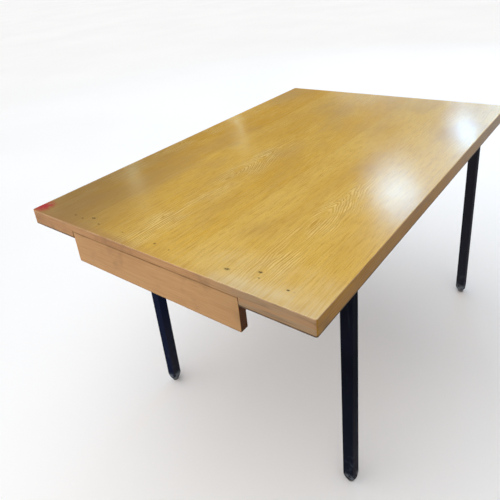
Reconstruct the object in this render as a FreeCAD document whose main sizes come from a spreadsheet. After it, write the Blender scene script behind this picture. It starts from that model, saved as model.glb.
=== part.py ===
import FreeCAD, Part
import math
import os
import re
import Sketcher

# A table with a drawer in one short edge.
# Z is up, the floor is at Z = 0 and the origin lies under the middle of the top.
# The length runs along Y, and the drawer opens towards -Y.

# Driving sizes in millimetres, with what each one is.
SIZES = (
    ("top_width", 800, "top, along X"),
    ("top_length", 1200, "top, along Y"),
    ("table_height", 740, "floor to the face of the top"),
    ("edge_height", 38, "visible edge of the top"),
    ("edge_thickness", 20, "edge strips and drawer front, seen from above"),
    ("corner_radius", 5, "corners of the top, seen from above"),
    ("veneer_thickness", 1, "face veneer and backing veneer"),
    ("core_thickness", 17, "core board between the veneers"),
    ("face_arris", 0.8, "rounding along the face of the top"),
    ("arris", 1.5, "rounding along other wooden edges"),
    ("side_overhang", 64, "top past the outer face of the legs"),
    ("front_overhang", 243, "top past the front legs, over the drawer"),
    ("rear_overhang", 4, "top past the rear legs"),
    ("tube_size", 30, "square tube of legs and rails"),
    ("tube_wall", 2, "wall of the tube"),
    ("tube_corner", 3, "outer corner radius of the tube"),
    ("foot_taper", 40, "height at which a leg starts to draw in"),
    ("foot_radius", 10.5, "round lower end of a leg"),
    ("glide_height", 7, "glide below the end of the leg"),
    ("glide_radius", 9.5, "glide, largest"),
    ("glide_rim", 2.5, "rounding of the glide's rim"),
    ("glide_stem_radius", 5, "stem of the glide, up inside the leg"),
    ("glide_stem", 16, "length of that stem"),
    ("stem_fit", 0.1, "play round the stem"),
    ("bearer_width", 60, "battens between board and frame"),
    ("tab_length", 40, "fixing tab along the rail"),
    ("tab_width", 26, "fixing tab out from the rail"),
    ("tab_thickness", 3, "fixing tab"),
    ("screw_diameter", 4, "all screws"),
    ("screw_head", 8, "diameter of the countersunk head"),
    ("screw_head_height", 2.4, "countersunk head"),
    ("screw_point", 4, "length of the point"),
    ("screw_fit", 0.15, "play round a screw"),
    ("slot_width", 1.1, "slot in a screw head"),
    ("slot_depth", 1, "slot in a screw head"),
    ("frame_screw", 18, "length, frame to bearers"),
    ("runner_screw", 50, "length, runners to board"),
    ("stop_screw", 22, "length, stop strip to board"),
    ("back_screw", 30, "length, drawer side to back"),
    ("cleat_screw", 18, "length, cleat to drawer side"),
    ("front_width", 482, "drawer front"),
    ("front_height", 78, "drawer front"),
    ("front_top_gap", 1, "over the drawer front"),
    ("front_side_gap", 1.5, "beside the drawer front"),
    ("front_drop", 14, "drawer front below the box, for the fingers"),
    ("cove_radius", 9, "finger cove behind the lower edge of the front"),
    ("cove_length", 120, "finger cove"),
    ("box_inset", 21, "end of the drawer front to the side of the box"),
    ("side_thickness", 12, "drawer sides and back"),
    ("rear_clearance", 18, "closed drawer to the frame"),
    ("back_top_gap", 4, "back of the drawer to the board"),
    ("panel_thickness", 4, "bottom of the drawer"),
    ("panel_rise", 6, "below the bottom panel"),
    ("panel_groove", 5, "depth of the grooves for the bottom panel"),
    ("panel_fit", 0.2, "play of the panel in its grooves"),
    ("running_gap", 0.3, "between pieces that slide"),
    ("side_gap", 1, "drawer side to runner"),
    ("runner_width", 24, "grooved runner"),
    ("runner_height", 38, "grooved runner"),
    ("runner_lip", 10, "below the groove"),
    ("cleat_width", 10, "strip on the drawer side that slides in the groove"),
    ("cleat_height", 12, "strip on the drawer side"),
    ("cleat_arris", 0.8, "rounding of that strip"),
    ("stop_length", 300, "stop strip, along X"),
    ("stop_width", 14, "stop strip, along Y"),
    ("stop_thickness", 9, "stop strip"),
    ("stop_setback", 20, "stop strip behind the edge strip"),
    ("stop_clearance", 6, "stop strip to the drawer sides under it"),
    ("dowel_diameter", 6, "drawer sides to the drawer front"),
    ("dowel_length", 28, "drawer sides to the drawer front"),
    ("dowel_in_front", 10, "part of a dowel in the drawer front"),
    ("dowel_edge", 10, "dowel to the edge of the drawer side or its groove"),
    ("dowel_fit", 0.1, "play round a dowel"),
    ("back_screw_edge", 7, "lower back screw above the bottom panel"),
    ("back_screw_gap", 13, "between the two back screws"),
)

# Shares of a rail or a strip at which its fixings sit, and of the frame at which its bearer lies.
SIDE_TAB_SHARES = (0.1, 0.5, 0.9)
CROSS_TAB_SHARES = (0.25, 0.75)
RUNNER_SCREW_SHARES = (0.12, 0.5, 0.88)
CLEAT_SCREW_SHARES = (0.2, 0.5, 0.8)
STOP_SCREW_SHARES = (-0.4, 0.4)
MIDDLE_BEARER_SHARE = 0.5
HALF_DIAGONAL_SHARE = 0.7071

X_AXIS = FreeCAD.Vector(1, 0, 0)
Y_AXIS = FreeCAD.Vector(0, 1, 0)
Z_AXIS = FreeCAD.Vector(0, 0, 1)
FULL_TURN = 360
QUARTER_TURN = 90

# Turns that point a screw from +Z, as it is drawn, to where it is driven.
UP = FreeCAD.Rotation()
TO_PLUS_X = FreeCAD.Rotation(Y_AXIS, QUARTER_TURN)
TO_MINUS_X = FreeCAD.Rotation(Y_AXIS, -QUARTER_TURN)
TO_PLUS_Y = FreeCAD.Rotation(X_AXIS, -QUARTER_TURN)

# Levels and places that follow from the sizes.
BOARD_UNDERSIDE = "(table_height - 2 * veneer_thickness - core_thickness)"
FRAME_TOP = "(table_height - edge_height)"
FRONT_EDGE = "(-top_length / 2)"
REAR_EDGE = "(top_length / 2)"
FRONT_STRIP_BACK = "(edge_thickness - top_length / 2)"
REAR_STRIP_BACK = "(top_length / 2 - edge_thickness)"
LEG_X = "(top_width / 2 - side_overhang - tube_size / 2)"
FRONT_LEG_Y = "(front_overhang + tube_size / 2 - top_length / 2)"
REAR_LEG_Y = "(top_length / 2 - rear_overhang - tube_size / 2)"
FRAME_FRONT = "(front_overhang - top_length / 2)"
BEARER_INSIDE = "(top_width / 2 - side_overhang - bearer_width)"
RAIL_AXIS_Z = f"({FRAME_TOP} - tube_size / 2)"

FRONT_TOP = f"({BOARD_UNDERSIDE} - front_top_gap)"
FRONT_BOTTOM = f"({FRONT_TOP} - front_height)"
BOX_BOTTOM = f"({FRONT_BOTTOM} + front_drop)"
BOX_TOP = f"({BOARD_UNDERSIDE} - stop_thickness - stop_clearance)"
BOX_BACK = f"({FRAME_FRONT} - rear_clearance)"
BOX_LENGTH = f"({BOX_BACK} - {FRONT_STRIP_BACK})"
BOX_OUTSIDE = "(front_width / 2 - box_inset)"
BOX_INSIDE = f"({BOX_OUTSIDE} - side_thickness)"
PANEL_BOTTOM = f"({BOX_BOTTOM} + panel_rise)"
PANEL_TOP = f"({PANEL_BOTTOM} + panel_thickness)"
GROOVE_TOP = f"({PANEL_TOP} + panel_fit)"

RUNNER_INSIDE = f"({BOX_OUTSIDE} + side_gap)"
RUNNER_BOTTOM = f"({BOARD_UNDERSIDE} - runner_height)"
RUNNER_FRONT = f"({FRONT_STRIP_BACK} + running_gap)"
RUNNER_LENGTH = f"({FRAME_FRONT} - {RUNNER_FRONT})"
SLOT_BOTTOM = f"({RUNNER_BOTTOM} + runner_lip)"
SLOT_DEPTH = "(cleat_width - side_gap + running_gap)"
CLEAT_BOTTOM = f"({SLOT_BOTTOM} + running_gap)"
STOP_FRONT = f"({FRONT_STRIP_BACK} + stop_setback)"

doc = FreeCAD.newDocument("table_with_drawer")
sheet = doc.addObject("Spreadsheet::Sheet", "Sizes")
for row, (alias, value, note) in enumerate(SIZES, start=1):
    sheet.set(f"A{row}", alias)
    sheet.set(f"B{row}", str(value))
    sheet.set(f"C{row}", note)
    sheet.setAlias(f"B{row}", alias)
doc.recompute()

# The finished sub-parts, each written to its own file under its name.
nodes = []


def sized(formula):
    """The formula with the sheet's name before each of its sizes."""
    return re.sub(r"[a-z][a-z_]+", lambda word: f"Sizes.{word.group()}", formula)


def value_of(formula):
    """What a formula comes to with the sizes as they are."""
    numbers = re.sub(r"[a-z][a-z_]+", lambda word: str(float(sheet.get(word.group()))), formula)
    return FreeCAD.Units.Quantity(numbers).Value


def minus(formula):
    return f"(0 - {formula})"


def bind(thing, name, formula):
    thing.setExpression(name, sized(formula))


def place(thing, x, y, z):
    for axis, formula in zip("xyz", (x, y, z)):
        bind(thing, f"Placement.Base.{axis}", formula)


def keep(thing, name):
    """Name a finished sub-part."""
    thing.Label = name
    nodes.append(thing)
    return thing


# Sketches, whose corners are bound to the sizes one by one.


def flat_sketch(body, role, height="0"):
    sketch = body.newObject("Sketcher::SketchObject", f"{body.Name}_sketch")
    plane = next(part for part in body.Origin.OriginFeatures if part.Role == role)
    sketch.AttachmentSupport = [(plane, "")]
    sketch.MapMode = "FlatFace"
    bind(sketch, "AttachmentOffset.Base.z", height)
    return sketch


def fix_point(sketch, line, end, corner):
    """Hold one end of a line at a corner given as two formulas."""
    for kind, formula in zip(("DistanceX", "DistanceY"), corner):
        constraint = Sketcher.Constraint(kind, -1, 1, line, end, value_of(formula))
        number = sketch.addConstraint(constraint)
        bind(sketch, f"Constraints[{number}]", formula)


def outline(sketch, corners):
    """A closed outline of straight lines through the corners."""
    points = [FreeCAD.Vector(value_of(x), value_of(y), 0) for x, y in corners]
    count = len(corners)
    first = sketch.GeometryCount
    for number in range(count):
        line = Part.LineSegment(points[number], points[(number + 1) % count])
        sketch.addGeometry(line, False)
    for number in range(count):
        follower = first + (number + 1) % count
        sketch.addConstraint(Sketcher.Constraint("Coincident", first + number, 2, follower, 1))
        fix_point(sketch, first + number, 1, corners[number])
    return sketch


def disc(sketch, radius):
    """A circle about the origin."""
    size = value_of(radius)
    circle = sketch.addGeometry(Part.Circle(FreeCAD.Vector(), Z_AXIS, size), False)
    sketch.addConstraint(Sketcher.Constraint("Coincident", circle, 3, -1, 1))
    number = sketch.addConstraint(Sketcher.Constraint("Radius", circle, size))
    bind(sketch, f"Constraints[{number}]", radius)
    return sketch


def box_corners(low_x, low_y, high_x, high_y):
    return ((low_x, low_y), (high_x, low_y), (high_x, high_y), (low_x, high_y))


def centred_corners(size):
    half = f"(({size}) / 2)"
    return box_corners(minus(half), minus(half), half, half)


# Bodies.


def new_body(name):
    body = doc.addObject("PartDesign::Body", name)
    body.Label = name
    return body


def pad(body, sketch, length, reverse=False):
    feature = body.newObject("PartDesign::Pad", f"{body.Name}_pad")
    feature.Profile = sketch
    feature.Reversed = reverse
    bind(feature, "Length", length)
    doc.recompute()
    return feature


def pocket(body, sketch, depth, reverse=False):
    before = body.Shape.Volume
    feature = body.newObject("PartDesign::Pocket", f"{body.Name}_pocket")
    feature.Profile = sketch
    feature.Reversed = reverse
    bind(feature, "Length", depth)
    doc.recompute()
    if not body.Shape.Volume < before:
        raise RuntimeError(f"{body.Name}: a pocket cuts nothing")
    return feature


def round_edges(body, feature, radius, chosen):
    """Round those edges of the feature for which chosen(edge) is true."""
    names = [f"Edge{number}" for number, edge in enumerate(feature.Shape.Edges, start=1) if chosen(edge)]
    fillet = body.newObject("PartDesign::Fillet", f"{body.Name}_fillet")
    fillet.Base = (feature, names)
    bind(fillet, "Radius", radius)
    doc.recompute()
    return fillet


def along(axis):
    """A test for straight edges that run along an axis."""
    def runs(edge):
        start, end = edge.Vertexes[0].Point, edge.Vertexes[-1].Point
        return abs((end - start).normalize().dot(axis)) > 1 - Part.Precision.confusion()
    return runs


def level(height):
    """A test for edges that lie flat at a height."""
    def lies(edge):
        box = edge.BoundBox
        return max(abs(box.ZMin - height), abs(box.ZMax - height)) < Part.Precision.confusion()
    return lies


def every(edge):
    return True


def slab(name, low, size, rounding=None):
    """A rectangular piece from its lowest corner and its three sizes, with rounded edges."""
    body = new_body(name)
    width, length, height = size
    sketch = outline(flat_sketch(body, "XY_Plane"), box_corners("0", "0", width, length))
    solid = pad(body, sketch, height)
    if rounding:
        round_edges(body, solid, rounding, every)
    place(body, *low)
    return body


def profile_along_y(name, corners, start, length):
    """A strip along Y with a section drawn in X and Z."""
    body = new_body(name)
    sketch = outline(flat_sketch(body, "XZ_Plane"), corners)
    pad(body, sketch, length, reverse=True)
    bind(body, "Placement.Base.y", start)
    return body


def plain_box(name, low, size):
    """A square-edged box, for tools that cut and for thin sheets."""
    box = doc.addObject("Part::Box", name)
    for side, formula in zip(("Length", "Width", "Height"), size):
        bind(box, side, formula)
    place(box, *low)
    return box


def combine(kind, name, base, tool):
    result = doc.addObject(kind, name)
    result.Base = base
    result.Tool = tool
    return result


def group(name, things):
    result = doc.addObject("Part::Compound", name)
    result.Links = things
    return result


# Screws and dowels. Each form is drawn once at the origin, pointing up, and linked to its places.
# The bore for it is the same form with the fit added.


def turned(name, corners):
    """A solid turned about Z from a half section drawn in radius and height."""
    sketch = doc.addObject("Sketcher::SketchObject", f"{name}_section")
    sketch.Placement.Rotation = FreeCAD.Rotation(X_AXIS, QUARTER_TURN)
    outline(sketch, corners)
    solid = doc.addObject("Part::Revolution", name)
    solid.Source = sketch
    solid.Axis = Z_AXIS
    solid.Angle = FULL_TURN
    solid.Solid = True
    return solid


def screw_form(name, length, fit):
    head = f"(screw_head / 2 + {fit})"
    shank = f"(screw_diameter / 2 + {fit})"
    tip = f"({length} + {fit})"
    corners = (
        ("0", "0"),
        (head, "0"),
        (shank, "screw_head_height"),
        (shank, f"({tip} - screw_point)"),
        ("0", tip),
    )
    return turned(name, corners)


def slotted_screw(length):
    solid = screw_form(f"{length}_solid", length, "0")
    low = (minus("(screw_head / 2)"), minus("(slot_width / 2)"), "0")
    slot = plain_box(f"{length}_slot", low, ("screw_head", "slot_width", "slot_depth"))
    return combine("Part::Cut", f"{length}_form", solid, slot)


def screw_bore(length):
    return screw_form(f"{length}_bore", length, "screw_fit")


def dowel_form(name, fit):
    radius = f"(dowel_diameter / 2 + {fit})"
    low = minus(fit)
    high = f"(dowel_length + {fit})"
    return turned(name, (("0", low), (radius, low), (radius, high), ("0", high)))


def copies(name, form, places):
    """Links to one form at each of its places, as a group."""
    links = []
    for number, (x, y, z, turn) in enumerate(places, start=1):
        link = doc.addObject("App::Link", f"{name}_{number}")
        link.LinkedObject = form
        link.Placement.Rotation = turn
        place(link, x, y, z)
        links.append(link)
    return group(name, links)


def bored(name, solid, bores):
    return combine("Part::Cut", name, solid, bores)


# Where the fixings sit.


def between(start, end, share):
    return f"({start} + ({end} - {start}) * {share})"


SIDE_TAB_INSIDE = "(top_width / 2 - side_overhang - tube_size - tab_width)"
TAB_SCREW_X = f"({SIDE_TAB_INSIDE} + tab_width / 2)"
FRONT_TAB_Y = f"({FRONT_LEG_Y} + tube_size / 2)"
REAR_TAB_Y = f"({REAR_LEG_Y} - tube_size / 2 - tab_width)"
TAB_BOTTOM = f"({FRAME_TOP} - tab_thickness)"

side_tab_rows = [between(FRONT_LEG_Y, REAR_LEG_Y, share) for share in SIDE_TAB_SHARES]
cross_tab_rows = [between(minus(LEG_X), LEG_X, share) for share in CROSS_TAB_SHARES]

tab_lows = []
frame_screw_places = []
for y in side_tab_rows:
    for x_low, x_screw in ((SIDE_TAB_INSIDE, TAB_SCREW_X),
                           (minus(f"({SIDE_TAB_INSIDE} + tab_width)"), minus(TAB_SCREW_X))):
        tab_lows.append((x_low, f"({y} - tab_length / 2)", ("tab_width", "tab_length")))
        frame_screw_places.append((x_screw, y, TAB_BOTTOM, UP))
for x in cross_tab_rows:
    for y_low in (FRONT_TAB_Y, REAR_TAB_Y):
        tab_lows.append((f"({x} - tab_length / 2)", y_low, ("tab_length", "tab_width")))
        frame_screw_places.append((x, f"({y_low} + tab_width / 2)", TAB_BOTTOM, UP))

RUNNER_WEB_X = f"(({RUNNER_INSIDE} + {SLOT_DEPTH} + {RUNNER_INSIDE} + runner_width) / 2)"
runner_screw_places = [
    (x, between(RUNNER_FRONT, FRAME_FRONT, share), RUNNER_BOTTOM, UP)
    for share in RUNNER_SCREW_SHARES
    for x in (RUNNER_WEB_X, minus(RUNNER_WEB_X))
]
STOP_BOTTOM = f"({BOARD_UNDERSIDE} - stop_thickness)"
stop_screw_places = [
    (f"(stop_length * {share})", f"({STOP_FRONT} + stop_width / 2)", STOP_BOTTOM, UP)
    for share in STOP_SCREW_SHARES
]
CLEAT_OUTSIDE = f"({BOX_OUTSIDE} + cleat_width)"
CLEAT_MIDDLE = f"({CLEAT_BOTTOM} + cleat_height / 2)"
cleat_screw_places = [
    (x, between(FRONT_STRIP_BACK, BOX_BACK, share), CLEAT_MIDDLE, turn)
    for share in CLEAT_SCREW_SHARES
    for x, turn in ((CLEAT_OUTSIDE, TO_MINUS_X), (minus(CLEAT_OUTSIDE), TO_PLUS_X))
]
BACK_SCREW_Y = f"({BOX_BACK} - side_thickness / 2)"
LOWER_BACK_SCREW = f"({PANEL_TOP} + back_screw_edge)"
back_screw_places = [
    (x, BACK_SCREW_Y, z, turn)
    for z in (LOWER_BACK_SCREW, f"({LOWER_BACK_SCREW} + back_screw_gap)")
    for x, turn in ((BOX_OUTSIDE, TO_MINUS_X), (minus(BOX_OUTSIDE), TO_PLUS_X))
]
SIDE_MIDDLE_X = f"({BOX_OUTSIDE} - side_thickness / 2)"
dowel_places = [
    (x, f"({FRONT_STRIP_BACK} - dowel_in_front)", z, TO_PLUS_Y)
    for z in (f"({GROOVE_TOP} + dowel_edge)", f"({BOX_TOP} - dowel_edge)")
    for x in (SIDE_MIDDLE_X, minus(SIDE_MIDDLE_X))
]

bore_groups = {
    "frame_screw": copies("frame_bores", screw_bore("frame_screw"), frame_screw_places),
    "runner_screw": copies("runner_bores", screw_bore("runner_screw"), runner_screw_places),
    "stop_screw": copies("stop_bores", screw_bore("stop_screw"), stop_screw_places),
    "cleat_screw": copies("cleat_bores", screw_bore("cleat_screw"), cleat_screw_places),
    "back_screw": copies("back_bores", screw_bore("back_screw"), back_screw_places),
    "dowel": copies("dowel_bores", dowel_form("dowel_bore", "dowel_fit"), dowel_places),
}

# The top. Its pieces are cut from one blank with the finished corners and edges, as when the
# glued-up top is shaped as a whole.

blank = new_body("top_blank")
blank_sketch = flat_sketch(blank, "XY_Plane")
outline(blank_sketch, box_corners("(-top_width / 2)", FRONT_EDGE, "(top_width / 2)", REAR_EDGE))
blank_pad = pad(blank, blank_sketch, "edge_height")
blank_corners = round_edges(blank, blank_pad, "corner_radius", along(Z_AXIS))
blank_face = round_edges(blank, blank_corners, "face_arris", level(value_of("edge_height")))
round_edges(blank, blank_face, "arris", level(0))
place(blank, "0", "0", FRAME_TOP)

FACE_BOTTOM = "(table_height - veneer_thickness)"
face_zone = plain_box(
    "face_zone",
    ("(-top_width)", "(-top_length)", FACE_BOTTOM),
    ("(2 * top_width)", "(2 * top_length)", "edge_height"),
)
keep(combine("Part::Common", "top_veneer_sheet", blank, face_zone), "top_veneer")


def mitred_strip(name, corners):
    """An edge strip whose ends are mitred, up to the underside of the face veneer."""
    body = new_body(f"{name}_zone")
    pad(body, outline(flat_sketch(body, "XY_Plane"), corners), f"({FACE_BOTTOM} - {FRAME_TOP})")
    place(body, "0", "0", FRAME_TOP)
    return combine("Part::Common", f"{name}_mitred", blank, body)


OUT_X = "(top_width / 2)"
IN_X = "(top_width / 2 - edge_thickness)"
OUT_Y = REAR_EDGE
IN_Y = REAR_STRIP_BACK
front_corners = (
    (minus(OUT_X), minus(OUT_Y)), (OUT_X, minus(OUT_Y)), (IN_X, minus(IN_Y)), (minus(IN_X), minus(IN_Y)))
rear_corners = ((minus(IN_X), IN_Y), (IN_X, IN_Y), (OUT_X, OUT_Y), (minus(OUT_X), OUT_Y))
right_corners = ((OUT_X, minus(OUT_Y)), (OUT_X, OUT_Y), (IN_X, IN_Y), (IN_X, minus(IN_Y)))
left_corners = (
    (minus(OUT_X), minus(OUT_Y)), (minus(IN_X), minus(IN_Y)), (minus(IN_X), IN_Y), (minus(OUT_X), OUT_Y))

front_strip = mitred_strip("front_edge", front_corners)
NOTCH_HALF = "(front_width / 2 + front_side_gap)"
notch = plain_box(
    "drawer_notch",
    (minus(NOTCH_HALF), "(-top_length)", f"({FRAME_TOP} - edge_height)"),
    (f"(2 * {NOTCH_HALF})", "top_length", f"({BOARD_UNDERSIDE} - {FRAME_TOP} + edge_height)"),
)
keep(combine("Part::Cut", "front_edge_cut", front_strip, notch), "front_edge_strip")
keep(mitred_strip("rear_edge", rear_corners), "rear_edge_strip")
keep(mitred_strip("left_edge", left_corners), "left_edge_strip")
keep(mitred_strip("right_edge", right_corners), "right_edge_strip")

board_bores = group("board_bores", [bore_groups["runner_screw"], bore_groups["stop_screw"]])
BOARD_SIZE = (f"(2 * {IN_X})", f"(2 * {IN_Y})")
core = plain_box(
    "core_sheet",
    (minus(IN_X), minus(IN_Y), f"({BOARD_UNDERSIDE} + veneer_thickness)"),
    (*BOARD_SIZE, "core_thickness"),
)
keep(bored("core_bored", core, board_bores), "core_board")
backing = plain_box(
    "backing_sheet",
    (minus(IN_X), minus(IN_Y), BOARD_UNDERSIDE),
    (*BOARD_SIZE, "veneer_thickness"),
)
keep(bored("backing_bored", backing, board_bores), "backing_veneer")

# Bearers, which fill the space between the board and the steel frame.

BEARER_HEIGHT = f"({BOARD_UNDERSIDE} - {FRAME_TOP})"
REAR_BEARER_FRONT = f"({REAR_LEG_Y} + tube_size / 2 - bearer_width)"
MIDDLE_BEARER_FRONT = between(FRAME_FRONT, REAR_BEARER_FRONT, MIDDLE_BEARER_SHARE)
SIDE_BEARER = ("bearer_width", f"({REAR_STRIP_BACK} - {FRAME_FRONT})")
CROSS_BEARER = (f"(2 * {BEARER_INSIDE})", "bearer_width")
REAR_BEARER = (f"(2 * {BEARER_INSIDE})", f"({REAR_STRIP_BACK} - {REAR_BEARER_FRONT})")
BEARERS = {
    "left_bearer": (minus(f"({BEARER_INSIDE} + bearer_width)"), FRAME_FRONT, SIDE_BEARER),
    "right_bearer": (BEARER_INSIDE, FRAME_FRONT, SIDE_BEARER),
    "front_bearer": (minus(BEARER_INSIDE), FRAME_FRONT, CROSS_BEARER),
    "middle_bearer": (minus(BEARER_INSIDE), MIDDLE_BEARER_FRONT, CROSS_BEARER),
    "rear_bearer": (minus(BEARER_INSIDE), REAR_BEARER_FRONT, REAR_BEARER),
}
for name, (x, y, plan) in BEARERS.items():
    bearer = slab(f"{name}_slab", (x, y, FRAME_TOP), (*plan, BEARER_HEIGHT), "arris")
    if name == "middle_bearer":
        keep(bearer, name)
    else:
        keep(bored(f"{name}_bored", bearer, bore_groups["frame_screw"]), name)

# The steel frame: four rails and four legs of one square tube.

INNER_SIZE = "(tube_size - 2 * tube_wall)"


def rail(name, role, axis, length, start):
    """A rail of square tube, from the middle of its starting end."""
    body = new_body(name)
    backwards = role == "XZ_Plane"
    outer = pad(body, outline(flat_sketch(body, role), centred_corners("tube_size")), length, backwards)
    round_edges(body, outer, "tube_corner", along(axis))
    pocket(body, outline(flat_sketch(body, role), centred_corners(INNER_SIZE)), length, not backwards)
    place(body, *start)
    return keep(body, name)


SIDE_RAIL = f"({REAR_LEG_Y} - {FRONT_LEG_Y} - tube_size)"
CROSS_RAIL = f"(2 * {LEG_X} - tube_size)"
SIDE_RAIL_START = f"({FRONT_LEG_Y} + tube_size / 2)"
CROSS_RAIL_START = minus(f"({LEG_X} - tube_size / 2)")
rail("left_rail", "XZ_Plane", Y_AXIS, SIDE_RAIL, (minus(LEG_X), SIDE_RAIL_START, RAIL_AXIS_Z))
rail("right_rail", "XZ_Plane", Y_AXIS, SIDE_RAIL, (LEG_X, SIDE_RAIL_START, RAIL_AXIS_Z))
rail("front_rail", "YZ_Plane", X_AXIS, CROSS_RAIL, (CROSS_RAIL_START, FRONT_LEG_Y, RAIL_AXIS_Z))
rail("rear_rail", "YZ_Plane", X_AXIS, CROSS_RAIL, (CROSS_RAIL_START, REAR_LEG_Y, RAIL_AXIS_Z))

CORNER_REACH = f"(tube_size * {HALF_DIAGONAL_SHARE})"


def draw_in_foot(body):
    """Turn the lower end of a leg to a rounded point, tangent to its corners."""
    sketch = flat_sketch(body, "XZ_Plane")
    corners = (
        ("foot_radius", "glide_height"),
        ("tube_size", "glide_height"),
        ("tube_size", "foot_taper"),
        (CORNER_REACH, "foot_taper"),
    )
    points = [FreeCAD.Vector(value_of(x), value_of(y), 0) for x, y in corners]
    for start, end in zip(points, points[1:]):
        sketch.addGeometry(Part.LineSegment(start, end), False)
    reach = points[3].x - points[0].x
    drop = points[3].y - points[0].y
    radius = (reach * reach + drop * drop) / (2 * reach)
    centre = FreeCAD.Vector(points[3].x - radius, points[3].y, 0)
    circle = Part.Circle(centre, Z_AXIS, radius)
    bow = sketch.addGeometry(Part.ArcOfCircle(circle, circle.parameter(points[0]), math.tau), False)
    for number in range(3):
        fix_point(sketch, number, 1, corners[number])
    fix_point(sketch, 2, 2, corners[3])
    sketch.addConstraint(Sketcher.Constraint("Coincident", 0, 2, 1, 1))
    sketch.addConstraint(Sketcher.Constraint("Coincident", 1, 2, 2, 1))
    sketch.addConstraint(Sketcher.Constraint("Coincident", bow, 1, 0, 1))
    sketch.addConstraint(Sketcher.Constraint("Coincident", bow, 2, 2, 2))
    sketch.addConstraint(Sketcher.Constraint("Horizontal", bow, 3, bow, 2))
    groove = body.newObject("PartDesign::Groove", f"{body.Name}_groove")
    groove.Profile = sketch
    groove.ReferenceAxis = (sketch, ["V_Axis"])
    groove.Angle = FULL_TURN
    doc.recompute()
    return groove


def leg(name, x, y):
    body = new_body(name)
    end = flat_sketch(body, "XY_Plane", "glide_height")
    outer = pad(body, outline(end, centred_corners("tube_size")), f"({FRAME_TOP} - glide_height)")
    round_edges(body, outer, "tube_corner", along(Z_AXIS))
    before = body.Shape.Volume
    draw_in_foot(body)
    if not body.Shape.Volume < before:
        raise RuntimeError(f"{name}: the foot is not drawn in")
    bore = outline(flat_sketch(body, "XY_Plane", FRAME_TOP), centred_corners(INNER_SIZE))
    pocket(body, bore, f"({FRAME_TOP} - foot_taper)")
    stem = flat_sketch(body, "XY_Plane", "glide_height")
    pocket(body, disc(stem, "(glide_stem_radius + stem_fit)"), "(glide_stem + stem_fit)", True)
    place(body, x, y, "0")
    return keep(body, name)


def glide(name, x, y):
    """A round glide with a stem that is pushed up into the leg."""
    body = new_body(name)
    section = outline(flat_sketch(body, "XZ_Plane"), (
        ("0", "0"),
        ("glide_radius", "0"),
        ("glide_radius", "glide_height"),
        ("glide_stem_radius", "glide_height"),
        ("glide_stem_radius", "(glide_height + glide_stem)"),
        ("0", "(glide_height + glide_stem)"),
    ))
    solid = body.newObject("PartDesign::Revolution", f"{name}_turned")
    solid.Profile = section
    solid.ReferenceAxis = (section, ["V_Axis"])
    solid.Angle = FULL_TURN
    doc.recompute()
    round_edges(body, solid, "glide_rim", level(0))
    place(body, x, y, "0")
    return keep(body, name)


CORNERS = {
    "front_left": (minus(LEG_X), FRONT_LEG_Y),
    "front_right": (LEG_X, FRONT_LEG_Y),
    "rear_left": (minus(LEG_X), REAR_LEG_Y),
    "rear_right": (LEG_X, REAR_LEG_Y),
}
for corner, (x, y) in CORNERS.items():
    leg(f"{corner}_leg", x, y)
    glide(f"{corner}_glide", x, y)

tabs = []
for number, (x, y, (width, length)) in enumerate(tab_lows, start=1):
    tabs.append(plain_box(f"tab_{number}", (x, y, TAB_BOTTOM), (width, length, "tab_thickness")))
keep(bored("tabs_bored", group("tab_plates", tabs), bore_groups["frame_screw"]), "fixing_tabs")
keep(copies("frame_screw_set", slotted_screw("frame_screw"), frame_screw_places), "frame_screws")

# Runners for the drawer, screwed up into the board. A runner's section is a block with a groove.


def mirrored(corners):
    return tuple((minus(x), y) for x, y in corners)


RUNNER_OUTSIDE = f"({RUNNER_INSIDE} + runner_width)"
SLOT_WALL = f"({RUNNER_INSIDE} + {SLOT_DEPTH})"
SLOT_TOP = f"({SLOT_BOTTOM} + cleat_height + 2 * running_gap)"
runner_corners = (
    (RUNNER_INSIDE, RUNNER_BOTTOM),
    (RUNNER_OUTSIDE, RUNNER_BOTTOM),
    (RUNNER_OUTSIDE, BOARD_UNDERSIDE),
    (RUNNER_INSIDE, BOARD_UNDERSIDE),
    (RUNNER_INSIDE, SLOT_TOP),
    (SLOT_WALL, SLOT_TOP),
    (SLOT_WALL, SLOT_BOTTOM),
    (RUNNER_INSIDE, SLOT_BOTTOM),
)
for name, corners in (("right_runner", runner_corners), ("left_runner", mirrored(runner_corners))):
    strip = profile_along_y(f"{name}_strip", corners, RUNNER_FRONT, RUNNER_LENGTH)
    keep(bored(f"{name}_bored", strip, bore_groups["runner_screw"]), name)
keep(copies("runner_screw_set", slotted_screw("runner_screw"), runner_screw_places), "runner_screws")

stop = slab(
    "stop_slab",
    ("(-stop_length / 2)", STOP_FRONT, STOP_BOTTOM),
    ("stop_length", "stop_width", "stop_thickness"),
    "arris",
)
keep(bored("stop_bored", stop, bore_groups["stop_screw"]), "stop_strip")
keep(copies("stop_screw_set", slotted_screw("stop_screw"), stop_screw_places), "stop_screws")

# The drawer. Its bottom panel runs in grooves of the front and the sides, and passes under the back.

front_board = slab(
    "front_slab",
    ("(-front_width / 2)", FRONT_EDGE, FRONT_BOTTOM),
    ("front_width", "edge_thickness", "front_height"),
    "arris",
)
front_groove = plain_box(
    "front_groove",
    (minus(f"({BOX_INSIDE} + panel_groove)"), f"({FRONT_STRIP_BACK} - panel_groove)", PANEL_BOTTOM),
    (f"(2 * ({BOX_INSIDE} + panel_groove))", "edge_thickness", f"({GROOVE_TOP} - {PANEL_BOTTOM})"),
)
cove = doc.addObject("Part::Cylinder", "finger_cove")
bind(cove, "Radius", "cove_radius")
bind(cove, "Height", "cove_length")
cove.Placement.Rotation = TO_PLUS_X
place(cove, "(-cove_length / 2)", FRONT_STRIP_BACK, FRONT_BOTTOM)
front_tools = group("front_tools", [front_groove, cove, bore_groups["dowel"]])
keep(bored("front_worked", front_board, front_tools), "drawer_front")

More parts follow.
